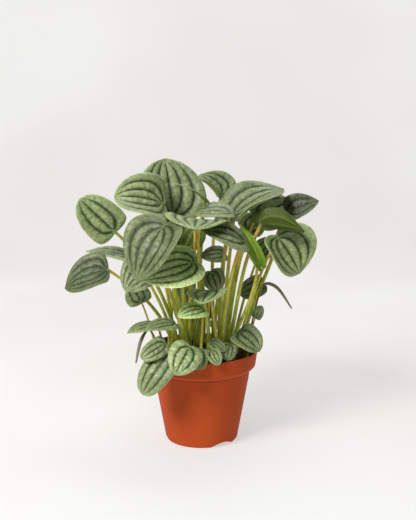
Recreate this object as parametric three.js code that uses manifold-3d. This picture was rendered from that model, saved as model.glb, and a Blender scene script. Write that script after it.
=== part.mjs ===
// Potted peperomia: a bushy house plant with quilted heart-shaped leaves, in a round moulded nursery pot.
// Units are millimetres. +Z is up, the photographed side faces -Y, and the origin is the middle of the
// pot's flat underside.
import * as THREE from "three";
import { mergeVertices } from "three/addons/utils/BufferGeometryUtils.js";
import Module from "manifold-3d";

const wasm = await Module();
wasm.setup();

// Pot
const rimRadius = 60;
const potHeight = 99;
const rimRound = 0.7;
const collarFootRadius = 57.6;
const collarFootHeight = 82;
const shoulderRadius = 52.2;
const shoulderHeight = 77;
const bodyTopRadius = 51.5;
const bodyTopHeight = 74.5;
const bodyFootRadius = 39.4;
const bodyFootHeight = 6;
const footRadius = 36;
const footCurve = [[38.4, 1.6], [39.1, 3.6]];
const wall = 1.4;
const floorThickness = 1.8;
const potSegments = 36;

// Arched drain channels cut into the pot's bottom edge
const channelCount = 3;
const firstChannel = 36;
const channelWidth = 28;
const channelHeight = 4.5;
const channelInnerEnd = 24;
const channelSteps = 4;
const drainHoleRadius = 3.5;
const drainHoleDistance = 30;
const drainHoleSides = 8;

// Soil
const gap = 0.4;
const soilTop = 89;
const soilEdge = 87;
const soilBump = 1.1;
const moundCentre = [-12, 18];
const moundRise = 9;
const moundSpread = 34;
const soilRings = [0.72, 0.36];
const soilSegments = 18;
const rootDepth = 9;
const holeClearance = 0.35;

// Leaf blades
const bladeThickness = 1.0;
const marginThickness = 0.7;
const quiltHeight = 0.06;
const waveHeight = 0.05;
const notchBack = 0.1;
const quiltPower = 0.8;
const waveTurns = 9;
const waveOffset = 2.1;
const wavePhaseStep = 1.7;
const midribPower = 1.2;
const largeLeaf = 50;
const mediumLeaf = 46;
const smallLeaf = 34;
const largeRows = [0, 0.12, 0.27, 0.45, 0.64, 0.84, 1];
const mediumRows = [0, 0.14, 0.33, 0.55, 0.78, 1];
const smallRows = [0, 0.2, 0.45, 0.73, 1];

// Petioles, the stems that carry the leaves
const petioleTaper = 0.7;
const leaveReach = 0.4;
const arriveReach = 0.3;
const arriveLift = 0.6;
const arriveLean = 0.8;
const petioleSink = 0.4;
const longPetiole = 70;
const thinStem = 2;
const longPetioleSteps = 5;
const shortPetioleSteps = 3;
const thickStemSides = 5;
const thinStemSides = 4;

// Half of a leaf's outline, from the notch behind the petiole round the lobe to the tip, as
// [share of the length from petiole to tip, share of the half width]. A leaf mixes the two.
const pointedOutline = [
  [-0.10, 0.00], [-0.17, 0.20], [-0.16, 0.50], [-0.06, 0.80], [0.11, 0.97],
  [0.31, 0.99], [0.52, 0.86], [0.72, 0.60], [0.88, 0.30], [1.00, 0.00],
];
const roundOutline = [
  [-0.10, 0.00], [-0.17, 0.20], [-0.17, 0.52], [-0.08, 0.82], [0.10, 0.98],
  [0.33, 1.00], [0.58, 0.94], [0.80, 0.76], [0.95, 0.44], [1.00, 0.00],
];

// Each leaf: name, heel (where the petiole meets the blade), tip, the way the upper face looks,
// width, curl (degrees that each margin rises), arch (rise of the middle as a share of the length),
// lobe (how far the lobes reach back), roundness, root of the petiole on the soil, the petiole's
// radius there, and its bow (0 runs straight to the heel, 1 rises first and then leans out).
const leafTable = [
  ["top_1", [-30, 4, 244], [-39, 24, 299], [3, -9, 4], 74, 22, 0.04, 1, 0.6, [-12, 5], 2.5, 0.3],
  ["top_2", [21, 34, 258], [-2, 43, 280], [5, -4, 6], 54, 68, 0.04, 0.8, 0.5, [12, 8], 2.2, 0.3],
  ["top_3", [4, -18, 260], [-26, -30, 278], [10, 3, 14], 20, 8, 0.08, 0.6, 0, [-1, -2], 1.6, 0.5],
  ["left_1", [-91, -14, 228], [-124, -22, 262], [-3, -8, 5], 43, 14, 0.05, 0.5, 0.8, [-22, -3], 2.3, 0.8],
  ["left_2", [-40, -29, 258], [-87, -41, 266], [0, -7, 8], 62, 32, 0.08, 0.7, 0.6, [-15, -6], 2.4, 0.4],
  ["left_3", [-96, -30, 190], [-141, -24, 169], [-3, -6, 7], 50, 30, 0.08, 0.2, 0.3, [-27, -11], 2.2, 1.1],
  ["left_4", [-72, 8, 194], [-122, 2, 203], [0, -1, 9], 42, 10, 0.05, 0.8, 0.1, [-28, 4], 2.1, 0.9],
  ["left_5", [-46, -40, 202], [-76, -58, 174], [-5, -8, 3], 50, 10, 0.06, 0.8, 0.5, [-6, -33], 2.6, 0.2],
  ["left_6", [-62, -32, 157], [-72, -32, 178], [-1, -9, 3], 27, 10, 0.05, 0.6, 0.3, [-44, -8], 1.3, 0.2],
  ["left_7", [-45, -38, 135], [-75, -50, 128], [-1, -2, 9], 25, -14, 0.10, 0.6, 0.3, [-38, -22], 1.6, 0.5],
  ["left_8", [-28, -50, 139], [-56, -62, 134], [0, -3, 9], 24, -10, 0.10, 0.6, 0.3, [-33, -32], 1.6, 0.3],
  ["right_1", [34, -8, 243], [86, 6, 269], [-3, -3, 10], 70, 42, 0.05, 1.7, 0.5, [20, 0], 2.4, 0.4],
  ["right_2", [60, 20, 239], [97, 36, 251], [1, -9, 5], 45, 8, 0.05, 0.8, 0.3, [25, 6], 2.1, 0.5],
  ["right_3", [91, 11, 244], [123, 7, 256], [2, -8, 7], 33, 40, 0.05, 0.5, 0, [34, 5], 2.5, 0.15],
  ["right_4", [61, -27, 237], [102, -62, 235], [2, 8, 5], 36, 70, 0.05, 1.2, 0.1, [26, -5], 2.4, 0.2],
  ["right_5", [79, -22, 221], [101, -26, 185], [9, -11, 2], 70, 50, 0.04, 1.1, 0.7, [30, -12], 1.9, 0.05],
  ["right_6", [57, -42, 200], [39, -44, 239], [-8, 5, 2], 24, -44, 0.05, 1.2, 0, [25, -13], 2.1, 0.3],
  ["right_7", [50, 25, 222], [63, 35, 238], [1, -8, 6], 30, 8, 0.05, 0.6, 0.5, [20, 12], 1.8, 0.4],
  ["right_8", [62, 26, 196], [79, 34, 211], [1, -7, 6], 24, 8, 0.05, 0.6, 0.5, [30, 12], 1.8, 0.3],
  ["right_9", [65, 20, 165], [41, 22, 152], [0, -9, 2], 24, 6, 0.05, 0.6, 0.7, [38, 12], 1.5, 0.3],
  ["right_10", [57, -6, 134], [64, -4, 146], [0, -8, 4], 13, 20, 0.05, 0.5, 0.5, [48, -2], 1.1, 0.3],
  ["inner_1", [41, -62, 225], [0, -75, 238], [1, -5, 9], 40, 6, 0.06, 0.8, 0.2, [18, -20], 2.3, 0.4],
  ["inner_2", [-5, -50, 245], [-6, -96, 242], [1, -1, 9], 62, 8, 0.04, 1, 0.1, [12, -30], 2.2, 0.1],
  ["inner_3", [29, -38, 250], [-9, -40, 249], [0, -2, 9], 42, 8, 0.05, 0.7, 0.3, [18, -11], 2.2, 0.6],
  ["inner_4", [24, 8, 199], [-1, 4, 197], [0, -6, 6], 22, 10, 0.06, 0.7, 0.4, [18, 6], 1.8, 0.3],
  ["inner_5", [-7, -2, 228], [-21, -12, 203], [2, 8, 1], 30, 10, 0.05, 0.8, 0.2, [-7, -3], 1.9, 0.2],
  ["inner_6", [10, -28, 187], [17, -34, 169], [0, -8, 4], 24, 8, 0.05, 0.7, 0.8, [6, -14], 1.5, 0.3],
  ["inner_7", [8, -50, 172], [1, -82, 166], [-1, -2, 9], 42, 16, 0.05, 1, 0.1, [19, -29], 2.0, 0.3],
  ["inner_8", [2, -54, 154], [-23, -66, 149], [0, -4, 9], 26, 6, 0.08, 0.6, 0.5, [-1, -38], 1.6, 0.3],
  ["inner_9", [-12, -14, 174], [-24, -17, 160], [-1, -7, 5], 18, 8, 0.05, 0.6, 0.6, [-12, -13], 1.5, 0.3],
  ["front_1", [-37, -77, 241], [-62, -91, 191], [-5, -8, 4], 66, 30, 0.07, 1, 0.1, [-17, -26], 2.3, 3.4],
  ["front_2", [-9, -66, 204], [-58, -82, 190], [0, -8, 8], 51, 4, 0.05, 1, 0.1, [-13, -21], 2.5, 1.1],
  ["low_1", [-37, -60, 120], [-60, -70, 107], [0, -8, 4], 21, 14, 0.06, 0.6, 0.8, [-31, -36], 1.4, 0.8],
  ["low_2", [-33, -63, 109], [-59, -73, 71], [-3, -8, 3], 35, -12, 0.10, 0.5, 0.9, [-17, -40], 1.8, 1],
  ["low_3", [-12, -68, 118], [-26, -82, 94], [0, -9, 3], 34, -14, 0.08, 0.8, 0.4, [-6, -46], 1.8, 0.8],
  ["low_4", [0, -60, 113], [-3, -68, 95], [1, -9, 2], 17, 8, 0.05, 0.6, 1, [4, -46], 1.4, 0.6],
  ["low_5", [10, -55, 111], [18, -65, 99], [2, -8, 4], 16, 14, 0.05, 0.6, 0.6, [12, -44], 1.2, 0.5],
  ["low_6", [10, -42, 117], [25, -49, 109], [1, -6, 7], 15, 8, 0.05, 0.4, 0.5, [16, -36], 1.2, 0.4],
  ["low_7", [29, -42, 114], [26, -51, 100], [0, -9, 4], 17, 8, 0.05, 0.5, 1, [26, -34], 1.2, 0.4],
  ["low_8", [39, -32, 124], [60, -46, 108], [1, -7, 7], 32, 30, 0.06, 0.5, 0.6, [34, -26], 1.7, 0.4],
  ["back_1", [-42, 44, 232], [-80, 70, 238], [-3, 4, 8], 54, 14, 0.08, 1, 0.4, [-20, 12], 2.3, 0.5],
  ["back_2", [2, 60, 242], [-4, 110, 236], [0, 5, 8], 58, 12, 0.08, 1, 0.3, [-4, 14], 2.4, 0.5],
  ["back_3", [52, 54, 230], [88, 86, 226], [3, 4, 8], 54, 12, 0.08, 1, 0.4, [24, 18], 2.3, 0.5],
  ["back_4", [-28, 76, 190], [-42, 112, 166], [-2, 8, 4], 45, -10, 0.08, 1, 0.4, [-36, 18], 2.2, 0.6],
  ["back_5", [30, 76, 206], [46, 114, 194], [2, 6, 7], 45, 10, 0.08, 1, 0.4, [12, 22], 2.2, 0.8],
  ["back_6", [-16, 39, 150], [-18, 41, 112], [0, -9, 2], 30, 8, 0.06, 0.8, 0.7, [-8, 34], 1.7, 0.3],
  ["back_7", [16, 46, 116], [24, 80, 96], [1, 5, 7], 34, -10, 0.10, 0.6, 0.8, [14, 34], 1.6, 0.6],
  ["back_8", [-50, 34, 196], [-82, 52, 182], [-4, 6, 6], 44, 10, 0.08, 1, 0.4, [-28, 12], 2.1, 0.7],
  ["back_9", [0, 32, 146], [-1, 34, 114], [0, -9, 2], 26, 8, 0.06, 0.8, 0.7, [4, 22], 1.7, 0.3],
];

// Each flower spike: name, and points of its route from the root to the end
const spikeTable = [
  ["spike_right",
    [[42, -18, 80], [47, -11, 100], [59, 0, 150], [66, 0, 168], [80, -4, 165], [95, -10, 144]]],
  ["spike_left",
    [[-46, -20, 80], [-47, -24, 110], [-54, -36, 128], [-62, -44, 118], [-67, -48, 96]]],
];

// A spike is a thin stalk that swells into the flowering part and then tapers to the end
const stalkRadius = 0.9;
const spikeRadius = 1.8;
const swellFrom = 0.5;
const swellTo = 0.72;
const taperFrom = 0.76;
const spikeTaper = 0.5;
const spikeSides = 5;
const spikeSteps = 12;

function clamp(value, low, high) {
  return Math.min(Math.max(value, low), high);
}

// A closed geometry from loose triangle corners: equal corners are merged and flat triangles dropped
function closedGeometry(positions, indices) {
  let geometry = new THREE.BufferGeometry();
  geometry.setAttribute("position", new THREE.Float32BufferAttribute(positions, 3));
  geometry.setIndex(indices);
  geometry = mergeVertices(geometry, 1e-4);
  const merged = geometry.getIndex().array;
  const kept = [];
  for (let i = 0; i < merged.length; i += 3) {
    const [a, b, c] = [merged[i], merged[i + 1], merged[i + 2]];
    if (a !== b && b !== c && c !== a) kept.push(a, b, c);
  }
  geometry.setIndex(kept);
  return geometry;
}

// three.js geometry to a solid, and back
function solidOf(geometry) {
  const bare = geometry.clone();
  bare.deleteAttribute("normal");
  bare.deleteAttribute("uv");
  const indices = bare.index ? bare.index.array : [...Array(bare.attributes.position.count).keys()];
  const closed = closedGeometry(bare.attributes.position.array, Array.from(indices));
  return new wasm.Manifold(new wasm.Mesh({
    numProp: 3,
    vertProperties: new Float32Array(closed.attributes.position.array),
    triVerts: new Uint32Array(closed.index.array),
  }));
}

function geometryOf(solid) {
  const mesh = solid.getMesh();
  const geometry = new THREE.BufferGeometry();
  geometry.setAttribute("position", new THREE.Float32BufferAttribute(mesh.vertProperties, 3));
  geometry.setIndex(Array.from(mesh.triVerts));
  return geometry;
}

// A solid of revolution about Z from [radius, height] points that run from the axis back to the axis
function turned(profile, segments) {
  const points = profile.map(([radius, height]) => new THREE.Vector2(radius, height));
  return new THREE.LatheGeometry(points, segments).rotateX(Math.PI / 2);
}

// A round tube along a curve, with a radius for each share of its length
function taperedTube(curve, radiusAt, sides, steps) {
  const frames = curve.computeFrenetFrames(steps, false);
  const positions = [];
  const indices = [];
  for (let i = 0; i <= steps; i += 1) {
    const centre = curve.getPointAt(i / steps);
    const radius = radiusAt(i / steps);
    for (let k = 0; k < sides; k += 1) {
      const angle = (2 * Math.PI * k) / sides;
      const corner = centre.clone();
      corner.addScaledVector(frames.normals[i], radius * Math.cos(angle));
      corner.addScaledVector(frames.binormals[i], radius * Math.sin(angle));
      positions.push(corner.x, corner.y, corner.z);
    }
  }
  for (let i = 0; i < steps; i += 1) {
    for (let k = 0; k < sides; k += 1) {
      const a = i * sides + k;
      const b = i * sides + ((k + 1) % sides);
      indices.push(a, b, b + sides, a, b + sides, a + sides);
    }
  }
  const last = steps * sides;
  for (let k = 1; k < sides - 1; k += 1) {
    indices.push(0, k + 1, k);
    indices.push(last, last + k, last + k + 1);
  }
  return closedGeometry(positions, indices);
}

// The pot: a turned shell with a collar, raised channels in its floor and drain holes
const potOutside = [
  [0, 0], [footRadius, 0], ...footCurve, [bodyFootRadius, bodyFootHeight],
  [bodyTopRadius, bodyTopHeight], [shoulderRadius, shoulderHeight], [collarFootRadius, collarFootHeight],
  [rimRadius, potHeight - rimRound], [rimRadius - rimRound, potHeight], [0, potHeight],
];
const potInside = [
  [0, floorThickness], [footRadius - wall, floorThickness], [bodyFootRadius - wall, bodyFootHeight],
  [bodyTopRadius - wall, bodyTopHeight], [shoulderRadius - wall, shoulderHeight],
  [collarFootRadius - wall, collarFootHeight], [rimRadius - wall, potHeight + 1], [0, potHeight + 1],
];

// One arched channel from the middle out through the bottom edge, larger by the given amount
function channel(grow) {
  const arch = new THREE.Shape();
  const halfWidth = channelWidth / 2 + grow;
  const height = channelHeight + grow;
  arch.moveTo(-halfWidth, -1);
  for (let i = 0; i <= channelSteps; i += 1) {
    const across = (2 * i) / channelSteps - 1;
    arch.lineTo(halfWidth * across, height * (1 - across * across));
  }
  arch.lineTo(halfWidth, -1);
  const start = channelInnerEnd - grow;
  const depth = rimRadius - start;
  const geometry = new THREE.ExtrudeGeometry(arch, { depth, bevelEnabled: false });
  return geometry.rotateX(Math.PI / 2).translate(0, -start, 0);
}

function channelAngle(index) {
  return THREE.MathUtils.degToRad(firstChannel + (index * 360) / channelCount);
}

function makePot() {
  const outside = solidOf(turned(potOutside, potSegments));
  let pot = outside.subtract(solidOf(turned(potInside, potSegments)));
  for (let i = 0; i < channelCount; i += 1) {
    const bump = solidOf(channel(wall).rotateZ(channelAngle(i)));
    pot = pot.add(bump.intersect(outside));
  }
  for (let i = 0; i < channelCount; i += 1) {
    const tunnel = solidOf(channel(0).rotateZ(channelAngle(i)));
    const holeDepth = 3 * channelHeight;
    const hole = new THREE.CylinderGeometry(drainHoleRadius, drainHoleRadius, holeDepth, drainHoleSides);
    hole.rotateX(Math.PI / 2).translate(0, -drainHoleDistance, channelHeight).rotateZ(channelAngle(i));
    pot = pot.subtract(tunnel).subtract(solidOf(hole));
  }
  return pot;
}

// Outline point at a share of the way from the notch to the tip, on a smooth curve through the points
function smoothPoint(outline, share) {
  const spans = outline.length - 1;
  const place = clamp(share, 0, 1) * spans;
  const first = Math.min(Math.floor(place), spans - 1);
  const t = place - first;
  const before = outline[Math.max(first - 1, 0)];
  const start = outline[first];
  const end = outline[first + 1];
  const after = outline[Math.min(first + 2, spans)];
  return [0, 1].map((axis) => {
    const slopeIn = (end[axis] - before[axis]) / 2;
    const slopeOut = (after[axis] - start[axis]) / 2;
    const rise = end[axis] - start[axis];
    return start[axis] + t * slopeIn
      + t * t * (3 * rise - 2 * slopeIn - slopeOut)
      + t * t * t * (slopeIn + slopeOut - 2 * rise);
  });
}

function outlineAt(leaf, share) {
  const pointed = smoothPoint(pointedOutline, share);
  const rounded = smoothPoint(roundOutline, share);
  const along = THREE.MathUtils.lerp(pointed[0], rounded[0], leaf.roundness);
  const across = THREE.MathUtils.lerp(pointed[1], rounded[1], leaf.roundness);
  return [along < 0 ? along * leaf.lobe : along, across];
}

// A leaf's own frame: along from heel to tip, up out of the upper face, across to its left
function leafFrame(leaf) {
  const along = leaf.tip.clone().sub(leaf.heel);
  const length = along.length();
  along.normalize();
  const up = leaf.face.clone().addScaledVector(along, -leaf.face.dot(along)).normalize();
  const across = up.clone().cross(along);
  return { along, across, up, length };
}

// Point of a blade's middle surface. Lines of one side value run from the heel to the tip, as the
// main veins do: 0 is the midrib and -1 and 1 are the margins. The lanes between the veins bulge.
function bladePoint(leaf, frame, side, share) {
  const halfWidth = leaf.width / 2;
  const reach = Math.abs(side);
  const sign = Math.sign(side);
  const [marginAlong, marginAcross] = outlineAt(leaf, share);
  const early = (1 - share) ** 3;
  const lastVein = (leaf.lanes - 1) / leaf.lanes;
  const back = notchBack * leaf.lobe;
  const notch = -back * Math.max(0, (reach - lastVein) / (1 - lastVein));
  const midrib = share ** midribPower;
  const x = ((1 - reach) * midrib + reach * (marginAlong + back * early) + notch * early) * frame.length;
  const y = sign * reach * marginAcross * halfWidth;
  const bulge = Math.abs(Math.sin(leaf.lanes * Math.PI * reach)) ** quiltPower;
  const quilt = quiltHeight * halfWidth * marginAcross * bulge;
  const phase = leaf.phase + waveOffset * sign;
  const wave = waveHeight * halfWidth * marginAcross * reach * reach * Math.sin(waveTurns * share + phase);
  const bend = THREE.MathUtils.degToRad(leaf.curl) / halfWidth;
  const rolledAcross = Math.abs(bend) < 1e-6 ? y : Math.sin(bend * y) / bend;
  const rolledUp = Math.abs(bend) < 1e-6 ? 0 : (1 - Math.cos(bend * y)) / bend;
  const run = x / frame.length;
  const arch = 4 * leaf.arch * frame.length * run * (1 - run);
  const point = leaf.heel.clone();
  point.addScaledVector(frame.along, x);
  point.addScaledVector(frame.across, rolledAcross);
  point.addScaledVector(frame.up, quilt + wave + rolledUp + arch);
  return point;
}

// A closed blade: the middle surface thickened along its own normals, thinner towards the margins
function makeBlade(leaf) {
  const frame = leafFrame(leaf);
  const columns = 4 * leaf.lanes;
  const rows = leaf.rowStarts.length - 1;
  const positions = [];
  for (let j = 0; j <= rows; j += 1) {
    for (let i = 0; i <= columns; i += 1) {
      const side = (2 * i) / columns - 1;
      const point = bladePoint(leaf, frame, side, leaf.rowStarts[j]);
      positions.push(point.x, point.y, point.z);
    }
  }
  const indices = [];
  for (let j = 0; j < rows; j += 1) {
    for (let i = 0; i < columns; i += 1) {
      const a = j * (columns + 1) + i;
      const [b, c, d] = [a + columns + 1, a + columns + 2, a + 1];
      if (i < columns / 2) {
        indices.push(a, b, d, b, c, d);
      } else {
        indices.push(a, b, c, a, c, d);
      }
    }
  }
  const middle = closedGeometry(positions, indices);
  middle.computeVertexNormals();
  const place = middle.attributes.position;
  const normal = middle.attributes.normal;
  const count = place.count;
  const faces = Array.from(middle.index.array);
  const edges = new Map();
  for (let i = 0; i < faces.length; i += 3) {
    for (let k = 0; k < 3; k += 1) {
      const from = faces[i + k];
      const to = faces[i + ((k + 1) % 3)];
      const back = `${to},${from}`;
      if (edges.has(back)) {
        edges.delete(back);
      } else {
        edges.set(`${from},${to}`, [from, to]);
      }
    }
  }
  const rim = new Set([...edges.values()].map(([from]) => from));
  const shell = [];
  for (const half of [0.5, -0.5]) {
    for (let i = 0; i < count; i += 1) {
      const offset = half * (rim.has(i) ? marginThickness : bladeThickness);
      shell.push(place.getX(i) + offset * normal.getX(i));
      shell.push(place.getY(i) + offset * normal.getY(i));
      shell.push(place.getZ(i) + offset * normal.getZ(i));
    }
  }
  const closed = [...faces];
  for (let i = 0; i < faces.length; i += 3) {
    closed.push(count + faces[i], count + faces[i + 2], count + faces[i + 1]);
  }
  for (const [from, to] of edges.values()) {
    closed.push(from, count + from, count + to, from, count + to, to);
  }
  return closedGeometry(shell, closed);
}

// The petiole's route: up out of the soil, leaning towards the leaf, and into the blade from below
function petioleCurve(leaf) {
  const frame = leafFrame(leaf);
  const start = new THREE.Vector3(leaf.root[0], leaf.root[1], soilTop - rootDepth);
  const end = leaf.heel.clone().addScaledVector(frame.up, petioleSink * bladeThickness);
  const span = end.clone().sub(start);
  const reach = span.length();
  const towards = span.normalize();
  const outwards = new THREE.Vector3(towards.x, towards.y, 0).normalize();
  const leave = towards.clone().lerp(new THREE.Vector3(0, 0, 1), Math.min(leaf.bow, 1)).normalize();
  const arrive = towards.clone().addScaledVector(frame.up, arriveLift);
  arrive.addScaledVector(outwards, arriveLean * leaf.bow).normalize();
  const first = start.clone().addScaledVector(leave, leaveReach * reach);
  const second = end.clone().addScaledVector(arrive, -arriveReach * reach);
  return new THREE.CubicBezierCurve3(start, first, second, end);
}

function makePetiole(leaf, extra) {
  const curve = petioleCurve(leaf);
  const steps = curve.getLength() > longPetiole ? longPetioleSteps : shortPetioleSteps;
  const sides = leaf.stem < thinStem ? thinStemSides : thickStemSides;
  const radiusAt = (share) => leaf.stem * THREE.MathUtils.lerp(1, petioleTaper, share) + extra;
  return taperedTube(curve, radiusAt, sides, steps);
}

function makeLeaf(leaf) {
  return solidOf(makeBlade(leaf)).add(solidOf(makePetiole(leaf, 0)));
}

function makeSpike(spike, extra) {
  const curve = new THREE.CatmullRomCurve3(spike.route);
  const radiusAt = (share) => {
    const swollen = THREE.MathUtils.smoothstep(share, swellFrom, swellTo);
    const tapered = THREE.MathUtils.smoothstep(share, taperFrom, 1);
    const radius = THREE.MathUtils.lerp(stalkRadius, spikeRadius, swollen);
    return radius * THREE.MathUtils.lerp(1, spikeTaper, tapered) + extra;
  };
  return solidOf(taperedTube(curve, radiusAt, spikeSides, spikeSteps));
}

// Height of the soil's crumbly top at a place, with the root ball's mound under the stems
function soilHeight(x, y) {
  const bumps = Math.sin(0.31 * x + 1) * Math.cos(0.27 * y) + 0.5 * Math.sin(0.63 * x - 0.5 * y);
  const away = Math.hypot(x - moundCentre[0], y - moundCentre[1]) / moundSpread;
  return soilTop + soilBump * bumps + moundRise * Math.exp(-away * away);
}

// Radius of the pot's inner wall at a height
function innerRadius(height) {
  const above = potInside.findIndex(([, level]) => level > height);
  const [lowRadius, low] = potInside[above - 1];
  const [highRadius, high] = potInside[above];
  return THREE.MathUtils.lerp(lowRadius, highRadius, (height - low) / (high - low));
}

// The soil: fills the pot above its channels, with a bumpy top and a plain hole for each stem
function makeSoil(stems) {
  const bottom = channelHeight + wall + gap;
  const levels = [bottom, bodyTopHeight, shoulderHeight, collarFootHeight, soilEdge];
  const edgeRadius = innerRadius(soilEdge) - gap;
  const profile = [
    [0, bottom],
    ...levels.map((height) => [innerRadius(height) - gap, height]),
    ...soilRings.map((share) => [edgeRadius * share, soilTop]),
    [0, soilTop],
  ];
  const geometry = turned(profile, soilSegments);
  const place = geometry.attributes.position;
  for (let i = 0; i < place.count; i += 1) {
    if (place.getZ(i) > soilEdge + gap) place.setZ(i, soilHeight(place.getX(i), place.getY(i)));
  }
  let soil = solidOf(geometry);
  for (const stem of stems) soil = soil.subtract(stem);
  return soil;
}

const leaves = leafTable.map((row, index) => {
  const [name, heel, tip, face, width, curl, arch, lobe, roundness, root, stem, bow] = row;
  const finerRows = width >= largeLeaf ? largeRows : mediumRows;
  return {
    name: `leaf_${name}`,
    heel: new THREE.Vector3(...heel),
    tip: new THREE.Vector3(...tip),
    face: new THREE.Vector3(...face),
    width,
    curl,
    arch,
    lobe,
    roundness,
    root,
    stem,
    bow,
    phase: wavePhaseStep * index,
    lanes: width >= mediumLeaf ? 3 : 2,
    rowStarts: width >= smallLeaf ? finerRows : smallRows,
  };
});

const spikes = spikeTable.map(([name, route]) => ({
  name,
  route: route.map((point) => new THREE.Vector3(...point)),
}));

const potMaterial = new THREE.MeshStandardMaterial({ color: 0xb8492a, roughness: 0.5, metalness: 0 });
const soilMaterial = new THREE.MeshStandardMaterial({ color: 0x2c1c1c, roughness: 1, metalness: 0 });
const leafMaterial = new THREE.MeshStandardMaterial({ color: 0x7f9a72, roughness: 0.5, metalness: 0 });
const spikeMaterial = new THREE.MeshStandardMaterial({ color: 0x8b8a58, roughness: 0.7, metalness: 0 });

const plant = new THREE.Group();

function addPiece(name, solid, material) {
  const mesh = new THREE.Mesh(geometryOf(solid), material.clone());
  mesh.name = name;
  plant.add(mesh);
}

addPiece("pot", makePot(), potMaterial);
const stemHoles = [
  ...leaves.map((leaf) => solidOf(makePetiole(leaf, holeClearance))),
  ...spikes.map((spike) => makeSpike(spike, holeClearance)),
];
addPiece("soil", makeSoil(stemHoles), soilMaterial);
for (const leaf of leaves) addPiece(leaf.name, makeLeaf(leaf), leafMaterial);
for (const spike of spikes) addPiece(spike.name, makeSpike(spike, 0), spikeMaterial);

export default plant;
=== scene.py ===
# Looks for a potted peperomia: quilted leaves on long petioles, soil and a moulded nursery pot.
# The tables and formulas repeat the CAD model's, in millimetres, with thinner blades and at a finer
# resolution. Blender's objects are in metres. +Z is up and the photographed side faces -Y.
import math
import random

import bpy
import numpy as np
from mathutils import Euler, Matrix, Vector, noise


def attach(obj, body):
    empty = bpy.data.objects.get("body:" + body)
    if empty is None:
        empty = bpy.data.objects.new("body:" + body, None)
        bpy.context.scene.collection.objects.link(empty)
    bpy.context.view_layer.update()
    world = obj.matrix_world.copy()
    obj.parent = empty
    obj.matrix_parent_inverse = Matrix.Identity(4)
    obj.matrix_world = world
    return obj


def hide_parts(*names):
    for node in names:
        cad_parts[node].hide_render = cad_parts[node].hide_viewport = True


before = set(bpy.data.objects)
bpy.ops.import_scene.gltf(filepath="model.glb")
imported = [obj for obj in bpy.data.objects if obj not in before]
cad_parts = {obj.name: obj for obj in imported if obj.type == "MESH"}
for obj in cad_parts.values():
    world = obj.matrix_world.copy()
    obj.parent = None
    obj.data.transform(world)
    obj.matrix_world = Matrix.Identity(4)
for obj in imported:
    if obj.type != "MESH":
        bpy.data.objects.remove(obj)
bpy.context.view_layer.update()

MM = 0.001

# Pot: a pair is a radius and a height
RIM_RADIUS = 60
POT_HEIGHT = 99
RIM_ROUND = 0.7
RIM_STEPS = 8
INNER_RIM = (58.3, 96)
COLLAR_SIDE = [(57.85, 83.4), (58.7, 90), (59.7, 96.8)]
COLLAR_FOOT = (57.6, 82)
COLLAR_UNDERSIDE = [(54.6, 79.2), (56.8, 81)]
SHOULDER = (52.2, 77)
BODY_TOP = (51.5, 74.5)
BODY_TOP_CURVE = [(51.35, 73.6), (51.5, 74.4)]
BODY_STRAIGHT_TOP = 73.3
BODY_SPANS = 9
BODY_FOOT = (39.4, 6)
FOOT_CURVE = [(36, 0), (37.4, 0.3), (38.4, 1.4), (39.1, 3.6)]
WALL = 1.4
POT_SEGMENTS = 144
SHARP_ANGLE = 32

# Drain channels and holes in the pot's floor, from the first channel's angle in degrees
CHANNEL_COUNT = 3
FIRST_CHANNEL = 36
CHANNEL_WIDTH = 28
CHANNEL_HEIGHT = 4.5
CHANNEL_INNER_END = 24
CHANNEL_STEPS = 16
CHANNEL_BELOW = -1
DRAIN_HOLE_RADIUS = 3.5
DRAIN_HOLE_DISTANCE = 30
DRAIN_HOLE_SIDES = 24
DRAIN_HOLE_ENDS = (-2, 12)
INNER_FLOOR = CHANNEL_HEIGHT + WALL

# Soil: its wave and ripple turn by so many radians for each millimetre along X and Y
GAP = 0.4
SOIL_TOP = 89
SOIL_EDGE_RADIUS = 56.7
SOIL_RINGS = 64
SOIL_SEGMENTS = 160
SOIL_BUMP = 1.1
SOIL_WAVE = (0.31, 0.27)
SOIL_WAVE_START = 1
SOIL_RIPPLE = (0.63, 0.5)
SOIL_RIPPLE_SHARE = 0.5
MOUND_CENTRE = (-12, 18)
MOUND_RISE = 9
MOUND_SPREAD = 34
FALL_DEPTH = 2
FALL_START = 42
FALL_WIDTH = 15
ROOT_DEPTH = 9

# Unevenness of the soil's top: height, frequency and place in the noise
CLODS = [(0.9, 0.33, 3), (0.5, 0.9, 9)]

# Loose crumbs of soil: a pair is the least and the most
CRUMB_COUNT = 1100
CRUMB_REACH = 55
LEAST_CRUMB = 0.28
CRUMB_SPREAD = 0.75
CRUMB_SIZE_POWER = 2.5
CRUMB_STRETCH = (0.7, 1.3)
CRUMB_JITTER = (0.85, 1.15)
CRUMB_LIFT = 0.35
CRUMB_SEED = 7

# Leaf blades
BLADE_THICKNESS = 0.8
MARGIN_THICKNESS = 0.45
THIN_FROM = 0.8
CAD_BLADE_THICKNESS = 1.0
QUILT_HEIGHT = 0.06
WAVE_HEIGHT = 0.05
NOTCH_BACK = 0.1
QUILT_POWER = 0.8
WAVE_TURNS = 9
WAVE_OFFSET = 2.1
PHASE_STEP = 1.7
MIDRIB_POWER = 1.2
SIDE_VEINS = 6
SIDE_VEIN_SLANT = 0.8
PUCKER_HEIGHT = 0.3
PUCKER_PHASE = 0.1
WRINKLE_HEIGHT = 0.35
WRINKLE_FREQUENCY = 0.16
WRINKLE_PHASE = 3.1
MEDIUM_LEAF = 46
LANE_STEPS = 9
ROWS_LARGE = 54
ROWS_SMALL = 38
ROW_POWER = 1.15
ROUNDING = 1e-9

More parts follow.
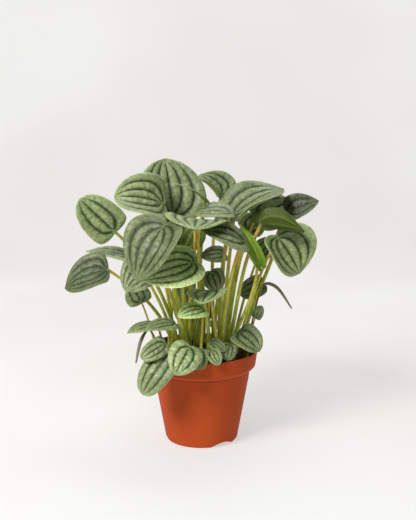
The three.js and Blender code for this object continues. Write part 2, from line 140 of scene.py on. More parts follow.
# Petioles
PETIOLE_TAPER = 0.7
PETIOLE_SINK = 0.4
LEAVE_REACH = 0.4
ARRIVE_REACH = 0.3
ARRIVE_LIFT = 0.6
ARRIVE_LEAN = 0.8
NECK_SWELL = 0.12
NECK_PLACE = 0.99
NECK_LENGTH = 0.03
STEM_RIPPLE = 0.02
STEM_RIPPLE_TURNS = 40
PETIOLE_SIDES = 10
PETIOLE_STEPS = 26

# One half of a blade's outline, from the notch round to the tip: share of the length, share of half
# the width
POINTED_OUTLINE = [
    (-0.10, 0.00), (-0.17, 0.20), (-0.16, 0.50), (-0.06, 0.80), (0.11, 0.97),
    (0.31, 0.99), (0.52, 0.86), (0.72, 0.60), (0.88, 0.30), (1.00, 0.00),
]
ROUND_OUTLINE = [
    (-0.10, 0.00), (-0.17, 0.20), (-0.17, 0.52), (-0.08, 0.82), (0.10, 0.98),
    (0.33, 1.00), (0.58, 0.94), (0.80, 0.76), (0.95, 0.44), (1.00, 0.00),
]

# Each leaf: name, heel, tip, the way the upper face looks, width, curl, arch, lobe, roundness,
# root, petiole radius at the root, and bow
LEAF_TABLE = [
    ("top_1", (-30, 4, 244), (-39, 24, 299), (3, -9, 4), 74, 22, 0.04, 1, 0.6, (-12, 5), 2.5, 0.3),
    ("top_2", (21, 34, 258), (-2, 43, 280), (5, -4, 6), 54, 68, 0.04, 0.8, 0.5, (12, 8), 2.2, 0.3),
    ("top_3", (4, -18, 260), (-26, -30, 278), (10, 3, 14), 20, 8, 0.08, 0.6, 0, (-1, -2), 1.6, 0.5),
    ("left_1", (-91, -14, 228), (-124, -22, 262), (-3, -8, 5), 43, 14, 0.05, 0.5, 0.8, (-22, -3), 2.3, 0.8),
    ("left_2", (-40, -29, 258), (-87, -41, 266), (0, -7, 8), 62, 32, 0.08, 0.7, 0.6, (-15, -6), 2.4, 0.4),
    ("left_3", (-96, -30, 190), (-141, -24, 169), (-3, -6, 7), 50, 30, 0.08, 0.2, 0.3, (-27, -11), 2.2, 1.1),
    ("left_4", (-72, 8, 194), (-122, 2, 203), (0, -1, 9), 42, 10, 0.05, 0.8, 0.1, (-28, 4), 2.1, 0.9),
    ("left_5", (-46, -40, 202), (-76, -58, 174), (-5, -8, 3), 50, 10, 0.06, 0.8, 0.5, (-6, -33), 2.6, 0.2),
    ("left_6", (-62, -32, 157), (-72, -32, 178), (-1, -9, 3), 27, 10, 0.05, 0.6, 0.3, (-44, -8), 1.3, 0.2),
    ("left_7", (-45, -38, 135), (-75, -50, 128), (-1, -2, 9), 25, -14, 0.10, 0.6, 0.3, (-38, -22), 1.6, 0.5),
    ("left_8", (-28, -50, 139), (-56, -62, 134), (0, -3, 9), 24, -10, 0.10, 0.6, 0.3, (-33, -32), 1.6, 0.3),
    ("right_1", (34, -8, 243), (86, 6, 269), (-3, -3, 10), 70, 42, 0.05, 1.7, 0.5, (20, 0), 2.4, 0.4),
    ("right_2", (60, 20, 239), (97, 36, 251), (1, -9, 5), 45, 8, 0.05, 0.8, 0.3, (25, 6), 2.1, 0.5),
    ("right_3", (91, 11, 244), (123, 7, 256), (2, -8, 7), 33, 40, 0.05, 0.5, 0, (34, 5), 2.5, 0.15),
    ("right_4", (61, -27, 237), (102, -62, 235), (2, 8, 5), 36, 70, 0.05, 1.2, 0.1, (26, -5), 2.4, 0.2),
    ("right_5", (79, -22, 221), (101, -26, 185), (9, -11, 2), 70, 50, 0.04, 1.1, 0.7, (30, -12), 1.9, 0.05),
    ("right_6", (57, -42, 200), (39, -44, 239), (-8, 5, 2), 24, -44, 0.05, 1.2, 0, (25, -13), 2.1, 0.3),
    ("right_7", (50, 25, 222), (63, 35, 238), (1, -8, 6), 30, 8, 0.05, 0.6, 0.5, (20, 12), 1.8, 0.4),
    ("right_8", (62, 26, 196), (79, 34, 211), (1, -7, 6), 24, 8, 0.05, 0.6, 0.5, (30, 12), 1.8, 0.3),
    ("right_9", (65, 20, 165), (41, 22, 152), (0, -9, 2), 24, 6, 0.05, 0.6, 0.7, (38, 12), 1.5, 0.3),
    ("right_10", (57, -6, 134), (64, -4, 146), (0, -8, 4), 13, 20, 0.05, 0.5, 0.5, (48, -2), 1.1, 0.3),
    ("inner_1", (41, -62, 225), (0, -75, 238), (1, -5, 9), 40, 6, 0.06, 0.8, 0.2, (18, -20), 2.3, 0.4),
    ("inner_2", (-5, -50, 245), (-6, -96, 242), (1, -1, 9), 62, 8, 0.04, 1, 0.1, (12, -30), 2.2, 0.1),
    ("inner_3", (29, -38, 250), (-9, -40, 249), (0, -2, 9), 42, 8, 0.05, 0.7, 0.3, (18, -11), 2.2, 0.6),
    ("inner_4", (24, 8, 199), (-1, 4, 197), (0, -6, 6), 22, 10, 0.06, 0.7, 0.4, (18, 6), 1.8, 0.3),
    ("inner_5", (-7, -2, 228), (-21, -12, 203), (2, 8, 1), 30, 10, 0.05, 0.8, 0.2, (-7, -3), 1.9, 0.2),
    ("inner_6", (10, -28, 187), (17, -34, 169), (0, -8, 4), 24, 8, 0.05, 0.7, 0.8, (6, -14), 1.5, 0.3),
    ("inner_7", (8, -50, 172), (1, -82, 166), (-1, -2, 9), 42, 16, 0.05, 1, 0.1, (19, -29), 2.0, 0.3),
    ("inner_8", (2, -54, 154), (-23, -66, 149), (0, -4, 9), 26, 6, 0.08, 0.6, 0.5, (-1, -38), 1.6, 0.3),
    ("inner_9", (-12, -14, 174), (-24, -17, 160), (-1, -7, 5), 18, 8, 0.05, 0.6, 0.6, (-12, -13), 1.5, 0.3),
    ("front_1", (-37, -77, 241), (-62, -91, 191), (-5, -8, 4), 66, 30, 0.07, 1, 0.1, (-17, -26), 2.3, 3.4),
    ("front_2", (-9, -66, 204), (-58, -82, 190), (0, -8, 8), 51, 4, 0.05, 1, 0.1, (-13, -21), 2.5, 1.1),
    ("low_1", (-37, -60, 120), (-60, -70, 107), (0, -8, 4), 21, 14, 0.06, 0.6, 0.8, (-31, -36), 1.4, 0.8),
    ("low_2", (-33, -63, 109), (-59, -73, 71), (-3, -8, 3), 35, -12, 0.10, 0.5, 0.9, (-17, -40), 1.8, 1),
    ("low_3", (-12, -68, 118), (-26, -82, 94), (0, -9, 3), 34, -14, 0.08, 0.8, 0.4, (-6, -46), 1.8, 0.8),
    ("low_4", (0, -60, 113), (-3, -68, 95), (1, -9, 2), 17, 8, 0.05, 0.6, 1, (4, -46), 1.4, 0.6),
    ("low_5", (10, -55, 111), (18, -65, 99), (2, -8, 4), 16, 14, 0.05, 0.6, 0.6, (12, -44), 1.2, 0.5),
    ("low_6", (10, -42, 117), (25, -49, 109), (1, -6, 7), 15, 8, 0.05, 0.4, 0.5, (16, -36), 1.2, 0.4),
    ("low_7", (29, -42, 114), (26, -51, 100), (0, -9, 4), 17, 8, 0.05, 0.5, 1, (26, -34), 1.2, 0.4),
    ("low_8", (39, -32, 124), (60, -46, 108), (1, -7, 7), 32, 30, 0.06, 0.5, 0.6, (34, -26), 1.7, 0.4),
    ("back_1", (-42, 44, 232), (-80, 70, 238), (-3, 4, 8), 54, 14, 0.08, 1, 0.4, (-20, 12), 2.3, 0.5),
    ("back_2", (2, 60, 242), (-4, 110, 236), (0, 5, 8), 58, 12, 0.08, 1, 0.3, (-4, 14), 2.4, 0.5),
    ("back_3", (52, 54, 230), (88, 86, 226), (3, 4, 8), 54, 12, 0.08, 1, 0.4, (24, 18), 2.3, 0.5),
    ("back_4", (-28, 76, 190), (-42, 112, 166), (-2, 8, 4), 45, -10, 0.08, 1, 0.4, (-36, 18), 2.2, 0.6),
    ("back_5", (30, 76, 206), (46, 114, 194), (2, 6, 7), 45, 10, 0.08, 1, 0.4, (12, 22), 2.2, 0.8),
    ("back_6", (-16, 39, 150), (-18, 41, 112), (0, -9, 2), 30, 8, 0.06, 0.8, 0.7, (-8, 34), 1.7, 0.3),
    ("back_7", (16, 46, 116), (24, 80, 96), (1, 5, 7), 34, -10, 0.10, 0.6, 0.8, (14, 34), 1.6, 0.6),
    ("back_8", (-50, 34, 196), (-82, 52, 182), (-4, 6, 6), 44, 10, 0.08, 1, 0.4, (-28, 12), 2.1, 0.7),
    ("back_9", (0, 32, 146), (-1, 34, 114), (0, -9, 2), 26, 8, 0.06, 0.8, 0.7, (4, 22), 1.7, 0.3),
]

# Painted light and shade on each leaf, as a factor on its colour: above 1 brightens a leaf as if more lit,
# below 1 darkens it as if in shade; a leaf that isn't named has 1
LIGHT_AND_SHADE = {
    "top_2": 0.85,
    "left_1": 1.3, "left_2": 1.08, "left_3": 0.53, "left_5": 0.9, "left_6": 0.95,
    "right_1": 0.79, "right_2": 0.95, "right_3": 0.38, "right_4": 0.36, "right_5": 1.35,
    "right_6": 1.65, "right_9": 0.6,
    "inner_1": 0.85, "inner_2": 1.12, "inner_3": 0.84, "inner_4": 0.65, "inner_5": 0.6,
    "inner_6": 0.8, "inner_7": 1.45, "inner_8": 2.3,
    "front_1": 0.71, "front_2": 2.6,
    "low_1": 1.1, "low_2": 1.1, "low_3": 1.5, "low_5": 1.3, "low_7": 0.75, "low_8": 0.95,
    "back_3": 0.5, "back_9": 0.6,
}

# The share by which a glossy leaf's roughness falls
GLOSS = {"left_1": 0.45, "low_2": 0.25, "low_3": 0.35, "inner_8": 0.2}

# How much more puckered a leaf's surface is than the others, as a factor
PUCKERED = {"low_1": 1.6, "low_2": 2, "low_3": 2.4, "low_5": 1.6, "inner_7": 1.6, "inner_8": 1.6}

# Each flower spike: name, and points of its route
SPIKE_TABLE = [
    ("spike_right",
     [(42, -18, 80), (47, -11, 100), (59, 0, 150), (66, 0, 168), (80, -4, 165), (95, -10, 144)]),
    ("spike_left",
     [(-46, -20, 80), (-47, -24, 110), (-54, -36, 128), (-62, -44, 118), (-67, -48, 96)]),
]
STALK_RADIUS = 0.9
SPIKE_RADIUS = 1.8
SWELL_FROM = 0.5
SWELL_TO = 0.72
TAPER_FROM = 0.76
SPIKE_TAPER = 0.5
SPIKE_STEPS = 220
SPIKE_SIDES = 12
SPIKE_END_LENGTH = 0.03
SPIKE_END_LEAST = 0.02
BEADS_AROUND = 6
BEAD_HEIGHT = 0.07

# Colours, as linear red, green and blue
VEIN_GREEN = (0.006, 0.022, 0.006)
LEAF_GREEN = (0.036, 0.074, 0.017)
SILVER_GREEN = (0.345, 0.415, 0.192)
MARGIN_PALE_AND_HIGHLIGHT = (0.400, 0.470, 0.210)
HEEL_GREEN = (0.150, 0.250, 0.040)
UNDER_BACKLIT_HOLLOW = (0.150, 0.250, 0.014)
UNDER_BACKLIT_RIB = (0.340, 0.450, 0.085)
STEM_GREEN = (0.340, 0.400, 0.022)
STEM_PALE = (0.700, 0.740, 0.120)
STEM_ORANGE = (0.520, 0.270, 0.035)
POT_DEEP = (0.470, 0.072, 0.018)
POT_BRIGHT = (0.540, 0.086, 0.021)
POT_SCUFF = (0.500, 0.110, 0.045)
POT_INNER_SHADE = (0.035, 0.018, 0.013)
POT_CREASE_SHADE = (0.160, 0.022, 0.008)
SOIL_DARK = (0.012, 0.006, 0.006)
SOIL_BROWN = (0.060, 0.032, 0.028)
SOIL_FLECK = (0.120, 0.080, 0.060)
STALK_BROWN = (0.250, 0.120, 0.045)
SPIKE_GREY = (0.290, 0.305, 0.185)
SPIKE_GAP = (0.090, 0.060, 0.030)
STAGE_WARM = (0.340, 0.325, 0.310)
STAGE_GREY = (0.350, 0.350, 0.350)
GLOW_WARM = (0.930, 0.910, 0.900)
GLOW_WHITE = (1.0, 1.0, 1.0)

# Heights on the pot where its looks change: painted shade on the inner wall starts below the rim and soon is
# full, and a band of painted shade runs round the crease at the shoulder
INNER_SHADE_START = (POT_HEIGHT - 0.2) * MM
INNER_SHADE_FULL = (POT_HEIGHT - 2.5) * MM
CREASE_HEIGHT = (SHOULDER[1] + 0.2) * MM
CREASE_SHADE_CORE = 0.1 * MM
CREASE_SHADE_REACH = 1.1 * MM

# Stage: a floor that bends up into a wall behind the plant, and a wider floor just below it
FLOOR_FRONT = -2500
FLOOR_HALF_WIDTH = 3000
BEND_START = 900
BEND_RADIUS = 600
BEND_STEPS = 15
WALL_TOP = 2600
FAR_FLOOR_REACH = 40000
FAR_FLOOR_HEIGHT = -1
STAGE_GLOW = 0.56

# Each light, in metres and watts: name, place, the point it faces, diameter, power and colour
LIGHTS = [
    ("key", (-0.95, -1.2, 1.5), (0, 0, 0.16), 0.8, 41, (1.0, 0.985, 0.96)),
    ("fill", (1.5, -1.2, 0.9), (0, 0, 0.16), 1.6, 0.3, (0.96, 0.98, 1.0)),
    ("top", (0.1, 0.5, 1.7), (0, 0, 0.2), 1.0, 11, (1.0, 1.0, 1.0)),
]
WORLD_COLOUR = (1.0, 0.98, 0.95, 1)
WORLD_STRENGTH = 0.07

# Camera: its place in metres, its downward slope in degrees, and its lens and sensor in millimetres
CAMERA_PLACE = (0.00684, -1.0306, 0.3919)
CAMERA_SLOPE = 10.85
CAMERA_LENS = 69.1
SENSOR_HEIGHT = 36


# Mesh building

def add_mesh(name, points, faces, materials, face_materials=None, smooth=True):
    """A new object from points in millimetres."""
    mesh = bpy.data.meshes.new(name)
    mesh.from_pydata([tuple(point) for point in np.asarray(points) * MM], [], faces)
    for material in materials:
        mesh.materials.append(material)
    if face_materials is not None:
        mesh.polygons.foreach_set("material_index", face_materials)
    mesh.polygons.foreach_set("use_smooth", [smooth] * len(mesh.polygons))
    piece = bpy.data.objects.new(name, mesh)
    bpy.context.scene.collection.objects.link(piece)
    return piece


def add_attribute(piece, name, values):
    """One number for each point of a piece, for its materials."""
    attribute = piece.data.attributes.new(name, "FLOAT", "POINT")
    attribute.data.foreach_set("value", np.asarray(values, dtype=np.float32))


def unit(vector):
    return vector / np.linalg.norm(vector)


def without_repeats(corners):
    """The corners of a face, without any that is the same as the one before it."""
    return [corner for k, corner in enumerate(corners) if corner != corners[k - 1]]


def shifted(faces, start):
    """The same faces for points that come later in a list."""
    return [tuple(start + corner for corner in face) for face in faces]


def flipped(faces):
    """The same faces, looking the other way."""
    return [tuple(reversed(face)) for face in faces]


def circle(radius, sides, height=0.0, centre=(0, 0)):
    """Points of a level circle, anticlockwise from above."""
    angles = [2 * math.pi * k / sides for k in range(sides)]
    return [(centre[0] + radius * math.cos(a), centre[1] + radius * math.sin(a), height) for a in angles]


def arc(centre, radius, start, end, steps):
    """Profile points on a circular arc, angles in degrees."""
    angles = [math.radians(start + (end - start) * i / steps) for i in range(steps + 1)]
    return [(centre[0] + radius * math.cos(a), centre[1] + radius * math.sin(a)) for a in angles]


def prism_faces(count):
    """Faces of a closed prism whose lower and upper rings run anticlockwise from above."""
    faces = [tuple(range(count - 1, -1, -1)), tuple(range(count, 2 * count))]
    for k in range(count):
        following = (k + 1) % count
        faces.append((k, following, count + following, count + k))
    return faces


def turned(profile, segments):
    """A closed solid turned about Z, from pairs of radius and height that start and end on the axis."""
    points = []
    rings = []
    for radius, height in profile:
        if radius == 0:
            rings.append([len(points)] * segments)
            points.append((0, 0, height))
        else:
            rings.append(list(range(len(points), len(points) + segments)))
            points += circle(radius, segments, height)
    faces = []
    for low, high in zip(rings, rings[1:]):
        for k in range(segments):
            following = (k + 1) % segments
            corners = without_repeats([low[k], low[following], high[following], high[k]])
            if len(corners) >= 3:
                faces.append(tuple(corners))
    return points, faces


def sweep(route, radii, sides):
    """Rings of points round a route, with a frame that doesn't twist, and the faces of a closed tube.

    The rings start from the X direction, so a route may not start along X.
    """
    tangents = np.gradient(route, axis=0)
    tangents /= np.linalg.norm(tangents, axis=1)[:, None]
    normal = np.array([1.0, 0.0, 0.0])
    angles = np.linspace(0, 2 * math.pi, sides, endpoint=False)
    rings = []
    for point, tangent, radius in zip(route, tangents, radii):
        normal = unit(normal - tangent * normal.dot(tangent))
        binormal = np.cross(tangent, normal)
        ring = point + (np.cos(angles) * radius)[:, None] * normal
        rings.append(ring + (np.sin(angles) * radius)[:, None] * binormal)
    count = len(rings)
    faces = []
    for i in range(count - 1):
        for k in range(sides):
            a = i * sides + k
            b = i * sides + (k + 1) % sides
            faces.append((a, b, b + sides, a + sides))
    faces.append(tuple(range(sides - 1, -1, -1)))
    faces.append(tuple((count - 1) * sides + k for k in range(sides)))
    return np.concatenate(rings), faces


def cut(piece, cutter):
    """Take one solid out of another, and remove the cutter."""
    modifier = piece.modifiers.new("cut", "BOOLEAN")
    modifier.operation = "DIFFERENCE"
    modifier.solver = "EXACT"
    modifier.object = cutter
    depsgraph = bpy.context.evaluated_depsgraph_get()
    mesh = bpy.data.meshes.new_from_object(piece.evaluated_get(depsgraph))
    piece.modifiers.clear()
    piece.data = mesh
    bpy.data.objects.remove(cutter)


def smooth_points(points, shares):
    """Places on a smooth curve through points, at shares of the way along it."""
    points = np.array(points, dtype=float)
    spans = len(points) - 1
    place = np.clip(shares, 0, 1) * spans
    first = np.minimum(np.floor(place).astype(int), spans - 1)
    t = (place - first)[:, None]
    before = points[np.maximum(first - 1, 0)]
    start = points[first]
    end = points[first + 1]
    after = points[np.minimum(first + 2, spans)]
    slope_in = (end - before) / 2
    slope_out = (after - start) / 2
    rise = end - start
    return (start + t * slope_in + t ** 2 * (3 * rise - 2 * slope_in - slope_out)
            + t ** 3 * (slope_in + slope_out - 2 * rise))


# Leaf geometry, as in the CAD model

def outline_at(leaf, shares):
    """The margin at shares of the way from the notch to the tip: a mix of the two outlines."""
    pointed = smooth_points(POINTED_OUTLINE, shares)
    rounded = smooth_points(ROUND_OUTLINE, shares)
    mixed = pointed + (rounded - pointed) * leaf["roundness"]
    mixed[:, 0] = np.where(mixed[:, 0] < 0, mixed[:, 0] * leaf["lobe"], mixed[:, 0])
    return mixed


def leaf_frame(leaf):
    """Directions along, across and out of the upper face, and the length from heel to tip."""
    along = leaf["tip"] - leaf["heel"]
    length = np.linalg.norm(along)
    along = along / length
    up = unit(leaf["face"] - along * leaf["face"].dot(along))
    return along, np.cross(up, along), up, length


def blade_points(leaf, sides, shares):
    """Points of the blade's middle surface: one row for each share, one column for each side.

    A side runs from -1 at one margin over 0 at the midrib to 1 at the other. The quilting, the waved
    margin, the curl across, the arch along and the puckers between side veins all lift the surface.
    """
    along, across, up, length = leaf_frame(leaf)
    half_width = leaf["width"] / 2
    reach = np.abs(sides)[None, :]
    sign = np.sign(sides)[None, :]
    share = shares[:, None]
    margin = outline_at(leaf, shares)
    margin_along = margin[:, :1]
    margin_across = margin[:, 1:]

    early = (1 - share) ** 3
    last_vein = (leaf["lanes"] - 1) / leaf["lanes"]
    back = NOTCH_BACK * leaf["lobe"]
    notch = -back * np.maximum(0, (reach - last_vein) / (1 - last_vein))
    midrib = share ** MIDRIB_POWER
    x = ((1 - reach) * midrib + reach * (margin_along + back * early) + notch * early) * length
    y = sign * reach * margin_across * half_width

    bulge = np.abs(np.sin(leaf["lanes"] * math.pi * reach)) ** QUILT_POWER
    quilt = QUILT_HEIGHT * half_width * margin_across * bulge
    wave = WAVE_HEIGHT * half_width * margin_across * reach ** 2
    wave = wave * np.sin(WAVE_TURNS * share + leaf["phase"] + WAVE_OFFSET * sign)
    bend = math.radians(leaf["curl"]) / half_width
    rolled_across = np.sin(bend * y) / bend
    rolled_up = (1 - np.cos(bend * y)) / bend
    run = x / length
    arch = 4 * leaf["arch"] * length * run * (1 - run)
    slant = SIDE_VEIN_SLANT * ((reach * leaf["lanes"]) % 1)
    ripple = np.cos(2 * math.pi * (SIDE_VEINS * share - slant + PUCKER_PHASE * leaf["phase"]))
    pucker = PUCKER_HEIGHT * leaf["pucker"] * bulge * margin_across * ripple * np.sin(math.pi * share)
    lift = quilt + wave + rolled_up + arch + pucker
    return (leaf["heel"] + along * x[..., None] + across * rolled_across[..., None]
            + up * lift[..., None])


def petiole_route(leaf):
    """A smooth bow from the root to the heel, at even steps of its parameter."""
    _, _, up, _ = leaf_frame(leaf)
    start = np.array([leaf["root"][0], leaf["root"][1], SOIL_TOP - ROOT_DEPTH], dtype=float)
    end = leaf["heel"] + up * PETIOLE_SINK * CAD_BLADE_THICKNESS
    reach = np.linalg.norm(end - start)
    towards = (end - start) / reach
    outwards = unit(np.array([towards[0], towards[1], 0.0]))
    bow = leaf["bow"]
    leave = unit(towards + (np.array([0, 0, 1.0]) - towards) * min(bow, 1))
    arrive = unit(towards + up * ARRIVE_LIFT + outwards * ARRIVE_LEAN * bow)
    first = start + leave * LEAVE_REACH * reach
    second = end - arrive * ARRIVE_REACH * reach
    t = np.linspace(0, 1, PETIOLE_STEPS + 1)[:, None]
    return ((1 - t) ** 3 * start + 3 * (1 - t) ** 2 * t * first
            + 3 * (1 - t) * t ** 2 * second + t ** 3 * end)


# Leaves

def blade_sheet(leaf):
    """The blade's middle surface: its points, the reach and share of each, and its faces.

    At the heel, all that lies between the last veins is one point, and the two margins meet. The
    whole last row is one point at the tip.
    """
    lanes = leaf["lanes"]
    columns = 2 * lanes * LANE_STEPS
    rows = ROWS_LARGE if leaf["width"] >= MEDIUM_LEAF else ROWS_SMALL
    sides = np.linspace(-1, 1, columns + 1)
    shares = np.linspace(0, 1, rows + 1) ** ROW_POWER
    index = np.arange((rows + 1) * (columns + 1)).reshape(rows + 1, columns + 1)
    middle = columns // 2
    last_vein = (lanes - 1) / lanes
    for i, side in enumerate(sides):
        index[0, i] = middle if abs(side) <= last_vein + ROUNDING else max(i, columns - i)
    index[rows] = index[rows, middle]
    faces = []
    for j in range(rows):
        for i in range(columns):
            corners = [index[j, i], index[j + 1, i], index[j + 1, i + 1], index[j, i + 1]]
            corners = without_repeats(corners)
            if len(corners) >= 3 and len(set(corners)) == len(corners):
                faces.append(corners)
    used = np.unique(np.concatenate(faces))
    place = np.full(index.size, -1)
    place[used] = np.arange(len(used))
    faces = [tuple(int(place[corner]) for corner in face) for face in faces]
    points = blade_points(leaf, sides, shares).reshape(-1, 3)[used]
    reach = np.broadcast_to(np.abs(sides)[None, :], index.shape).reshape(-1)[used]
    share = np.broadcast_to(shares[:, None], index.shape).reshape(-1)[used]
    return points, reach, share, faces


def sheet_normals(points, faces):
    normals = np.zeros_like(points)
    for face in faces:
        corners = points[list(face)]
        normals[list(face)] += np.cross(corners[2] - corners[0], corners[-1] - corners[1])
    return normals / np.linalg.norm(normals, axis=1)[:, None]


def open_edges(faces):
    """The edges that only one face has, in the order of the faces."""
    edges = {}
    for face in faces:
        for k, corner in enumerate(face):
            following = face[(k + 1) % len(face)]
            if (following, corner) in edges:
                del edges[(following, corner)]
            else:
                edges[(corner, following)] = True
    return list(edges)


def wrinkle(leaf, point):
    """Small unevenness of a blade, the same each run."""
    place = Vector(point) * WRINKLE_FREQUENCY + Vector((leaf["phase"] * WRINKLE_PHASE, 0, 0))
    return WRINKLE_HEIGHT * noise.noise(place)


def blade_shell(leaf):
    """The blade as a closed shell: upper points, then lower points, with the margin between them."""
    points, reach, share, faces = blade_sheet(leaf)
    normals = sheet_normals(points, faces)
    wrinkles = np.array([wrinkle(leaf, point) for point in points])
    points = points + normals * wrinkles[:, None]
    thin = np.clip((reach - THIN_FROM) / (1 - THIN_FROM), 0, 1)
    thickness = BLADE_THICKNESS + (MARGIN_THICKNESS - BLADE_THICKNESS) * thin
    half = normals * thickness[:, None] / 2
    count = len(points)
    margin = [(a, a + count, b + count, b) for a, b in open_edges(faces)]
    shell = np.concatenate([points + half, points - half])
    return shell, faces + shifted(flipped(faces), count) + margin, reach, share


def petiole_tube(leaf):
    """The petiole, a little swollen where it meets the blade, and how far up each point is."""
    route = petiole_route(leaf)
    steps = np.linalg.norm(np.diff(route, axis=0), axis=1)
    climb = np.concatenate([[0], np.cumsum(steps)]) / steps.sum()
    radii = leaf["stem"] * (1 + (PETIOLE_TAPER - 1) * climb)
    radii = radii * (1 + NECK_SWELL * np.exp(-((climb - NECK_PLACE) / NECK_LENGTH) ** 2))
    radii = radii * (1 + STEM_RIPPLE * np.sin(STEM_RIPPLE_TURNS * climb + leaf["phase"]))
    tube, faces = sweep(route, radii, PETIOLE_SIDES)
    return tube, faces, np.repeat(climb, PETIOLE_SIDES)


def make_leaf(leaf, materials):
    """One leaf, with the numbers that its two materials read at each point.

    The numbers run over the blade's upper points, its lower points and the petiole's points.
    """
    shell, shell_faces, reach, share = blade_shell(leaf)
    tube, tube_faces, climb = petiole_tube(leaf)
    points = np.concatenate([shell, tube])
    faces = shell_faces + shifted(tube_faces, len(shell))
    face_materials = [0] * len(shell_faces) + [1] * len(tube_faces)
    piece = add_mesh(leaf["name"] + "_detail", points, faces, materials, face_materials)
    lane = reach * leaf["lanes"]
    blade_ones = np.ones(len(reach))
    blade_zeros = np.zeros(len(reach))
    tube_zeros = np.zeros(len(tube))
    add_attribute(piece, "lane", np.concatenate([lane, lane, tube_zeros]))
    add_attribute(piece, "reach", np.concatenate([reach, reach, tube_zeros]))
    add_attribute(piece, "share", np.concatenate([share, share, tube_zeros]))
    add_attribute(piece, "upper", np.concatenate([blade_ones, blade_zeros, tube_zeros]))
    add_attribute(piece, "climb", np.concatenate([blade_zeros, blade_zeros, climb]))
    add_attribute(piece, "painted_light", np.full(len(points), leaf["painted_light"]))
    add_attribute(piece, "gloss", np.full(len(points), leaf["gloss"]))
    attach(piece, "root")
    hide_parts(leaf["name"])


def read_leaf(order, row):
    """A row of the table by name, with what follows from it."""
    name, heel, tip, face, width, curl, arch, lobe, roundness, root, stem, bow = row
    return {
        "name": "leaf_" + name,
        "heel": np.array(heel, dtype=float),
        "tip": np.array(tip, dtype=float),
        "face": np.array(face, dtype=float),
        "width": width,
        "curl": curl,
        "arch": arch,
        "lobe": lobe,
        "roundness": roundness,
        "root": root,
        "stem": stem,
        "bow": bow,
        "phase": PHASE_STEP * order,
        "lanes": 3 if width >= MEDIUM_LEAF else 2,
        "painted_light": LIGHT_AND_SHADE.get(name, 1.0),
        "gloss": GLOSS.get(name, 0.0),
        "pucker": PUCKERED.get(name, 1),
    }


# Node materials

class Nodes:
    """Short calls that add nodes to one material and link them."""

    def __init__(self, name):
        self.material = bpy.data.materials.new(name)
        self.material.use_nodes = True
        self.tree = self.material.node_tree
        self.shader = self.tree.nodes["Principled BSDF"]

    def put(self, socket, value):
        """Link a socket to another, or set its number, vector or colour."""
        if isinstance(value, bpy.types.NodeSocket):
            self.tree.links.new(value, socket)
        elif isinstance(value, tuple):
            socket.default_value = value + (1.0,) * (len(socket.default_value) - len(value))
        else:
            socket.default_value = value

    def attribute(self, name):
        node = self.tree.nodes.new("ShaderNodeAttribute")
        node.attribute_name = name
        return node.outputs["Fac"]

    def math(self, operation, first, second=0.0):
        node = self.tree.nodes.new("ShaderNodeMath")
        node.operation = operation
        self.put(node.inputs[0], first)
        self.put(node.inputs[1], second)
        return node.outputs[0]

    def plus(self, first, second):
        return self.math("ADD", first, second)

    def minus(self, first, second):
        return self.math("SUBTRACT", first, second)

    def times(self, first, second):
        return self.math("MULTIPLY", first, second)

    def swell(self, value):
        """0 at each whole number and 1 halfway between them."""
        return self.math("ABSOLUTE", self.math("SINE", self.times(value, math.pi)))

    def ramp(self, value, low, high, to_low=0.0, to_high=1.0):
        """A smooth step from one value to another."""
        node = self.tree.nodes.new("ShaderNodeMapRange")
        node.interpolation_type = "SMOOTHSTEP"
        for socket, number in zip(node.inputs, (value, low, high, to_low, to_high)):
            self.put(socket, number)
        return node.outputs[0]

    def mix(self, factor, first, second, blend="MIX"):
        node = self.tree.nodes.new("ShaderNodeMix")
        node.data_type = "RGBA"
        node.blend_type = blend
        self.put(node.inputs[0], factor)
        self.put(node.inputs[6], first)
        self.put(node.inputs[7], second)
        return node.outputs[2]

    def coordinates(self):
        node = self.tree.nodes.new("ShaderNodeTexCoord")
        return node.outputs["Object"]

    def height(self):
        node = self.tree.nodes.new("ShaderNodeSeparateXYZ")
        self.put(node.inputs[0], self.coordinates())
        return node.outputs["Z"]

    def stretched(self, x, y, z):
        node = self.tree.nodes.new("ShaderNodeMapping")
        self.put(node.inputs["Vector"], self.coordinates())
        self.put(node.inputs["Scale"], (x, y, z))
        return node.outputs[0]

    def noise(self, scale, detail=3.0, roughness=0.5, vector=None):
        node = self.tree.nodes.new("ShaderNodeTexNoise")
        self.put(node.inputs["Vector"], vector or self.coordinates())
        self.put(node.inputs["Scale"], scale)
        self.put(node.inputs["Detail"], detail)
        self.put(node.inputs["Roughness"], roughness)
        return node.outputs["Fac"]

    def cells(self, scale, feature):
        node = self.tree.nodes.new("ShaderNodeTexVoronoi")
        node.feature = feature
        self.put(node.inputs["Vector"], self.coordinates())
        self.put(node.inputs["Scale"], scale)
        return node.outputs["Distance"]

    def bump(self, height, strength, distance):
        node = self.tree.nodes.new("ShaderNodeBump")
        self.put(node.inputs["Height"], height)
        self.put(node.inputs["Strength"], strength)
        self.put(node.inputs["Distance"], distance)
        return node.outputs[0]

    def finish(self, **sockets):
        for name, value in sockets.items():
            self.put(self.shader.inputs[name.replace("_", " ")], value)
        return self.material


